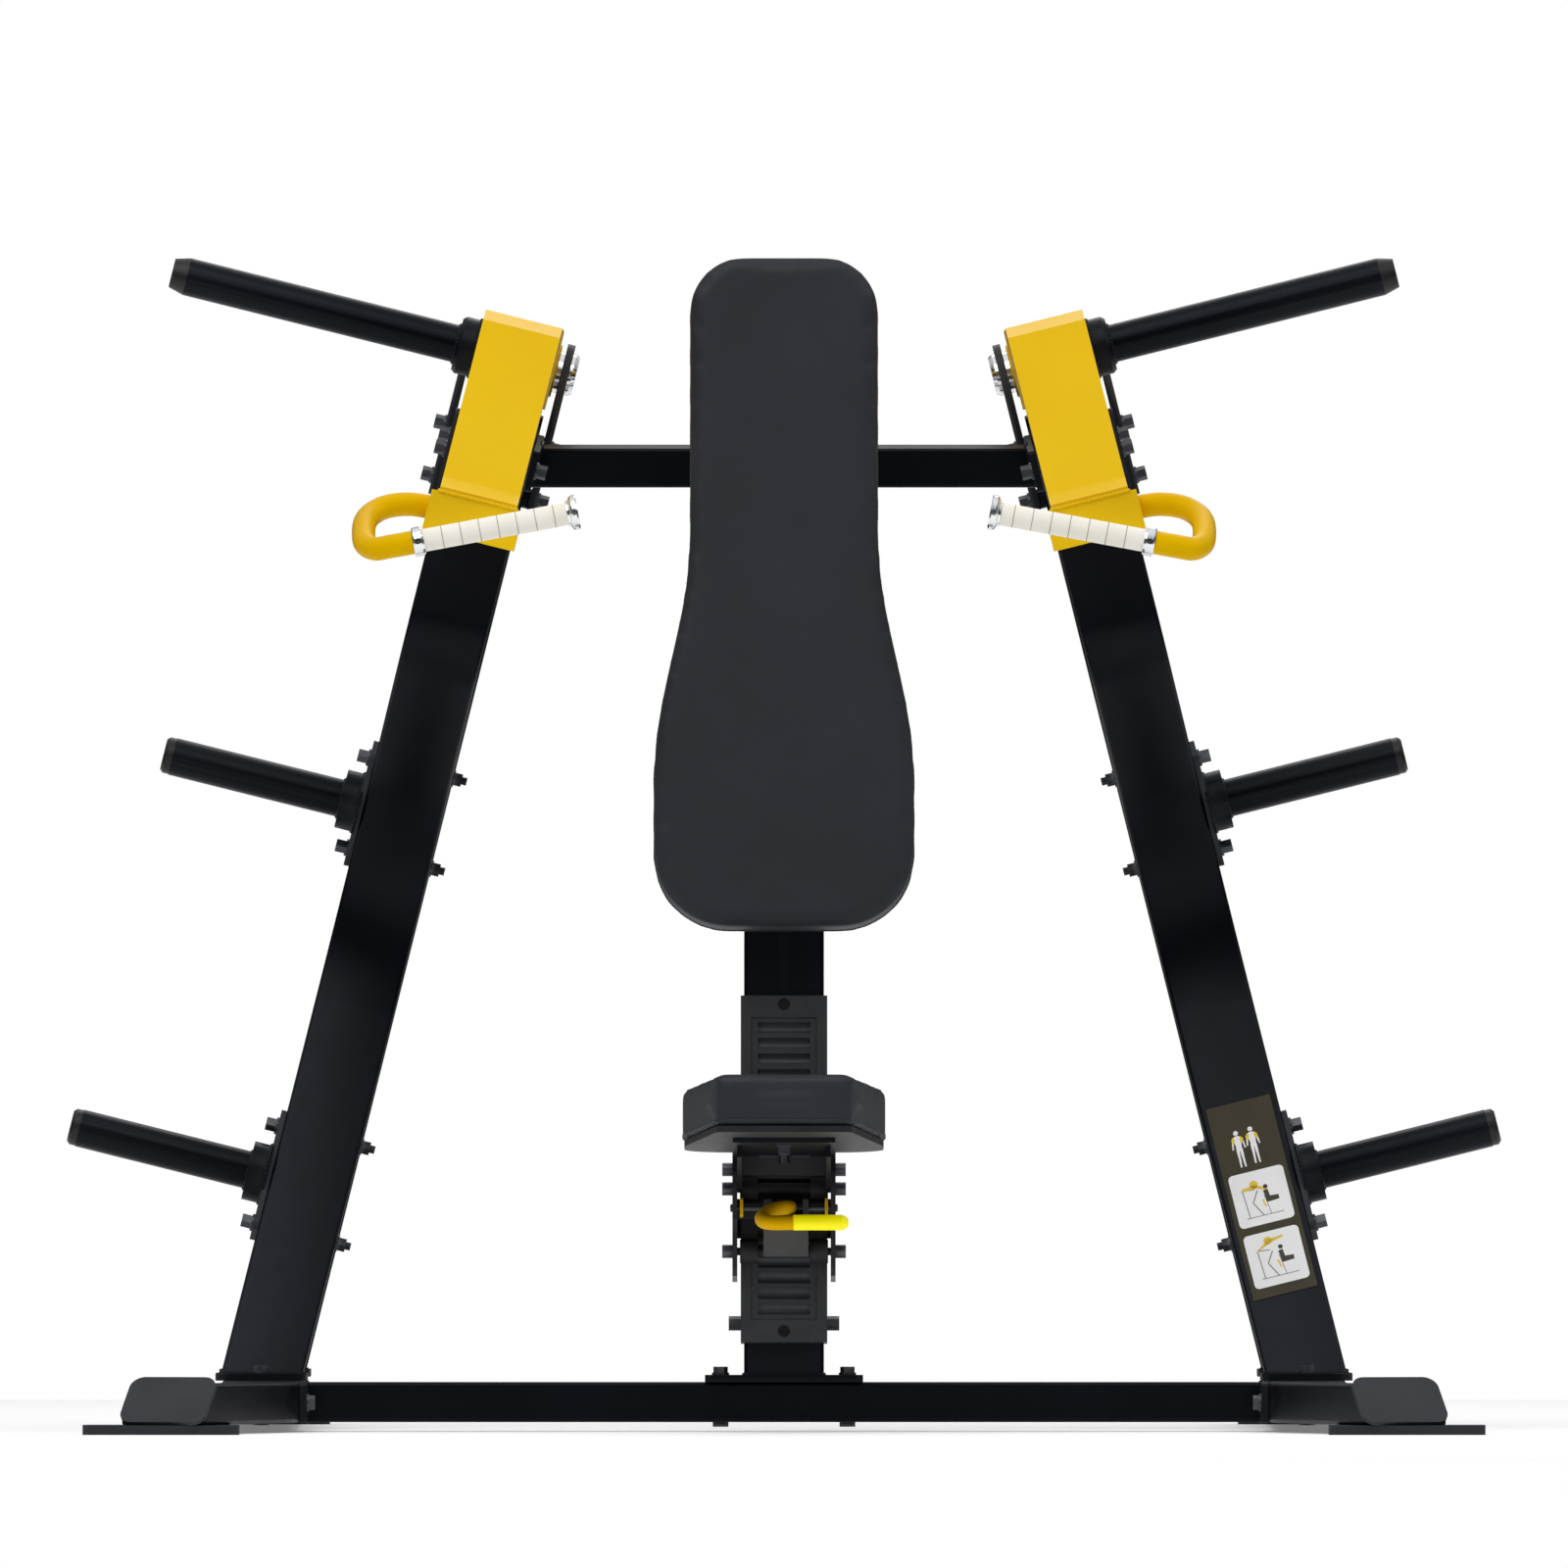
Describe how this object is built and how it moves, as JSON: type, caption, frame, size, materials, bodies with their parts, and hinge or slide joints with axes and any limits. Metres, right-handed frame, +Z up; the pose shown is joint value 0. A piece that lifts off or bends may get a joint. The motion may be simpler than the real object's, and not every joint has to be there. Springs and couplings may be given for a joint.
{
  "type": "shoulder press machine",
  "caption": "Plate-loaded shoulder press with two leaning side frames, hinged press arms with weight horns, a reclined back pad, a height-adjustable seat and plate storage horns.",
  "frame": {"origin": "on the floor, at the middle of the machine", "axes": "+X to the right as seen from the front, +Y to the rear, +Z up; the user sits facing -Y"},
  "size_m": [1.8318, 1.5793, 1.4958],
  "materials": {
    "black_paint": "satin powder coat",
    "graphite_paint": "satin powder coat",
    "yellow_paint": "satin powder coat",
    "yellow_grip": "soft vinyl",
    "bolt_steel": "black oxide",
    "chrome": "polished",
    "cream_rubber": "soft matt",
    "black_plastic": "moulded",
    "black_rubber": "moulded",
    "grey_nylon": "moulded",
    "upholstery": "synthetic leather, fine grain",
    "board": "black-faced plywood",
    "placard_print": "printed film"
  },
  "bodies": {
    "frame": {"base_rail_left": "black_paint", "base_rail_right": "black_paint", "nose_plates": "graphite_paint", "foot_plates": "graphite_paint", "lower_crossbeam": "black_paint", "front_post_left": "black_paint", "front_post_right": "black_paint", "front_post_feet": "graphite_paint", "rear_post_left": "black_paint", "rear_post_right": "black_paint", "top_beam_left": "black_paint", "top_beam_right": "black_paint", "mid_braces": "black_paint", "gusset_plates": "graphite_paint", "upper_crossbeam": "black_paint", "seat_post": "black_paint", "seat_ladder": "grey_nylon", "back_brackets": "black_paint", "back_board": "board", "back_pad": "upholstery", "storage_flanges": "graphite_paint", "storage_horns": "black_paint", "storage_plugs": "black_plastic", "horn_bolts": "bolt_steel", "frame_bolts": "bolt_steel", "fork_plates": "graphite_paint", "arm_axles": "bolt_steel", "axle_caps": "chrome", "arm_stops": "black_paint", "stop_pads": "black_rubber", "placard": "placard_print", "tube_end_caps": "black_plastic"},
    "left_arm": {"arm_beam_left": "yellow_paint", "arm_hub_left": "yellow_paint", "arm_horn_left": "black_paint", "horn_cap_left": "black_plastic", "handle_box_left": "yellow_paint", "handle_loop_left": "yellow_paint", "grip_left": "cream_rubber", "grip_collars_left": "chrome"},
    "right_arm": {"arm_beam_right": "yellow_paint", "arm_hub_right": "yellow_paint", "arm_horn_right": "black_paint", "horn_cap_right": "black_plastic", "handle_box_right": "yellow_paint", "handle_loop_right": "yellow_paint", "grip_right": "cream_rubber", "grip_collars_right": "chrome"},
    "seat_carriage": {"carriage_plates": "graphite_paint", "carriage_cross": "graphite_paint", "roller_bolts": "bolt_steel", "seat_bracket": "black_paint", "seat_board": "board", "seat_pad": "upholstery"},
    "seat_lever": {"seat_lever": "yellow_paint", "lever_grip": "yellow_grip", "latch_pawl": "grey_nylon"},
    "roller_rear": {"roller_rear": "black_rubber"},
    "roller_upper": {"roller_upper": "black_rubber"},
    "roller_lower": {"roller_lower": "black_rubber"}
  },
  "joints": [
    {"name": "left_arm_press", "type": "hinge", "parent": "frame", "child": "left_arm", "pos_m": [-0.34291, 0.47, 1.36482], "axis": [-0.9703, 0, 0.2419], "range_deg": [0, 40]},
    {"name": "right_arm_press", "type": "hinge", "parent": "frame", "child": "right_arm", "pos_m": [0.34291, 0.47, 1.36482], "axis": [-0.9703, 0, -0.2419], "range_deg": [0, 40]},
    {"name": "seat_height", "type": "slide", "parent": "frame", "child": "seat_carriage", "axis": [0, 0.1132, 0.9936], "range_m": [-0.04, 0.16]},
    {"name": "lever_lift", "type": "hinge", "parent": "seat_carriage", "child": "seat_lever", "pos_m": [0, -0.35429, 0.28431], "axis": [-1, 0, 0], "range_deg": [0, 16], "stiffness_Nm_per_rad": 1.5, "springref_deg": -5.73},
    {"name": "roller_rear_spin", "type": "hinge", "parent": "seat_carriage", "child": "roller_rear", "pos_m": [0, -0.22924, 0.33247], "axis": [1, 0, 0], "range_deg": [-160, 620]},
    {"name": "roller_upper_spin", "type": "hinge", "parent": "seat_carriage", "child": "roller_upper", "pos_m": [0, -0.32819, 0.30851], "axis": [1, 0, 0], "range_deg": [-620, 160]},
    {"name": "roller_lower_spin", "type": "hinge", "parent": "seat_carriage", "child": "roller_lower", "pos_m": [0, -0.33724, 0.22903], "axis": [1, 0, 0], "range_deg": [-620, 160]}
  ],
  "couplings": [
    {"joint": "roller_rear_spin", "follows": "seat_height", "rad_per_m": 66.667},
    {"joint": "roller_upper_spin", "follows": "seat_height", "rad_per_m": -66.667},
    {"joint": "roller_lower_spin", "follows": "seat_height", "rad_per_m": -66.667}
  ]
}
